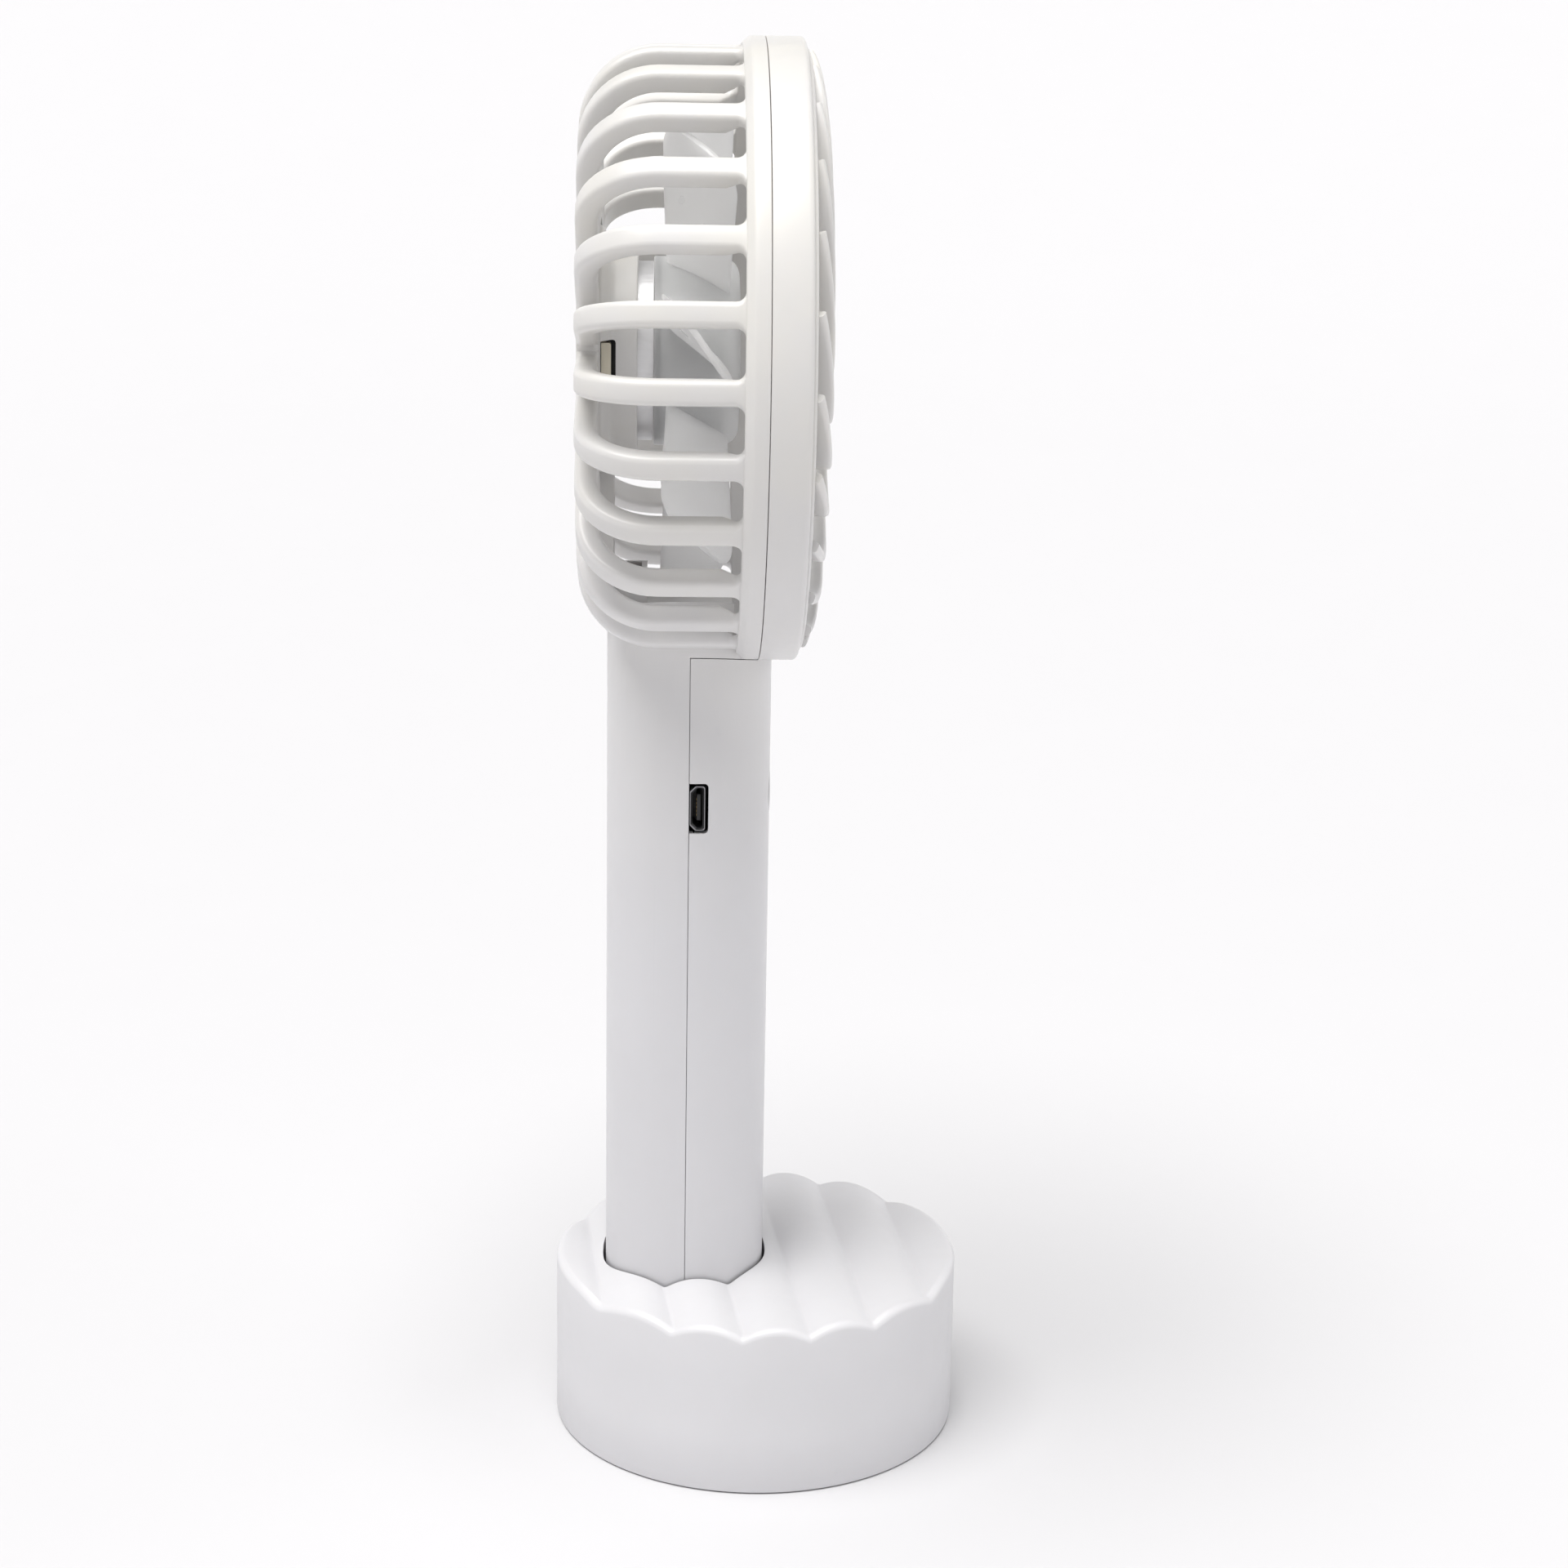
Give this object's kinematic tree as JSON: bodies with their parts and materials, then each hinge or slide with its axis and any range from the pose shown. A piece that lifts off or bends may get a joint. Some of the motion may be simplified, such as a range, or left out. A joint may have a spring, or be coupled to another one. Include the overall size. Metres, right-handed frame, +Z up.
{
  "type": "handheld electric fan",
  "caption": "Rechargeable handheld fan with a round caged head, a straight handle with a charging socket and power button, standing in a round desk base with a waved top.",
  "frame": {"origin": "middle of the base's underside, on the table", "axes": "+Z up along the handle, +X the way the air blows, -Y the side with the charging socket"},
  "size_m": [0.07, 0.1, 0.2365],
  "materials": {
    "white_plastic": "smooth satin white ABS, slightly warm",
    "blade_plastic": "glossy milky white, slightly see-through",
    "cream_plastic": "matte cream nylon",
    "black_plastic": "matte black moulded plastic",
    "steel": "bright plated steel",
    "copper": "enamelled copper and tinned brass",
    "bronze": "sintered bronze",
    "ferrite": "dark grey sintered ferrite",
    "board": "green solder mask",
    "cell_wrap": "shrink sleeve, plain",
    "red_wire": "PVC insulation",
    "black_wire": "PVC insulation",
    "pad_rubber": "matte foam rubber"
  },
  "bodies": {
    "stand": {"base_shell": "white_plastic", "base_bottom_cover": "white_plastic", "anti_slip_pad": "pad_rubber", "base_screw_1": "steel", "base_screw_2": "steel", "base_screw_3": "steel"},
    "fan_body": {"rear_cage": "white_plastic", "rear_handle": "white_plastic", "front_housing": "white_plastic", "front_grille": "white_plastic", "grille_centre_cap": "white_plastic", "battery_cell": "cell_wrap", "battery_tab_top": "steel", "battery_tab_bottom": "steel", "circuit_board": "board", "charging_socket_shell": "steel", "charging_socket_tongue": "black_plastic", "switch_body": "black_plastic", "charger_chip": "black_plastic", "boost_inductor": "ferrite", "capacitor": "cream_plastic", "indicator_led": "cream_plastic", "indicator_light_pipe": "blade_plastic", "motor_wire_red": "red_wire", "motor_wire_black": "black_wire", "battery_wire_red": "red_wire", "battery_wire_black": "black_wire", "housing_screw_1": "steel", "housing_screw_2": "steel", "motor_can": "steel", "motor_end_cap": "cream_plastic", "motor_magnet": "ferrite", "front_bush": "bronze", "rear_bush": "bronze", "motor_terminal_positive": "copper", "motor_terminal_negative": "copper"},
    "impeller_body": {"impeller": "blade_plastic", "motor_shaft": "steel", "armature": "copper"},
    "button_body": {"power_button": "white_plastic", "switch_plunger": "black_plastic"}
  },
  "joints": [
    {"name": "fan_lift", "type": "slide", "parent": "stand", "child": "fan_body", "axis": [0, 0, 1], "range_m": [0, 0.03]},
    {"name": "impeller_spin", "type": "hinge", "parent": "fan_body", "child": "impeller_body", "pos_m": [-0.0127, 0, 0.1865], "axis": [1, 0, 0], "continuous": true},
    {"name": "button_press", "type": "slide", "parent": "fan_body", "child": "button_body", "axis": [-1, 0, 0], "range_m": [0, 0.0004], "stiffness_N_per_m": 1500, "springref_m": -0.0005}
  ]
}
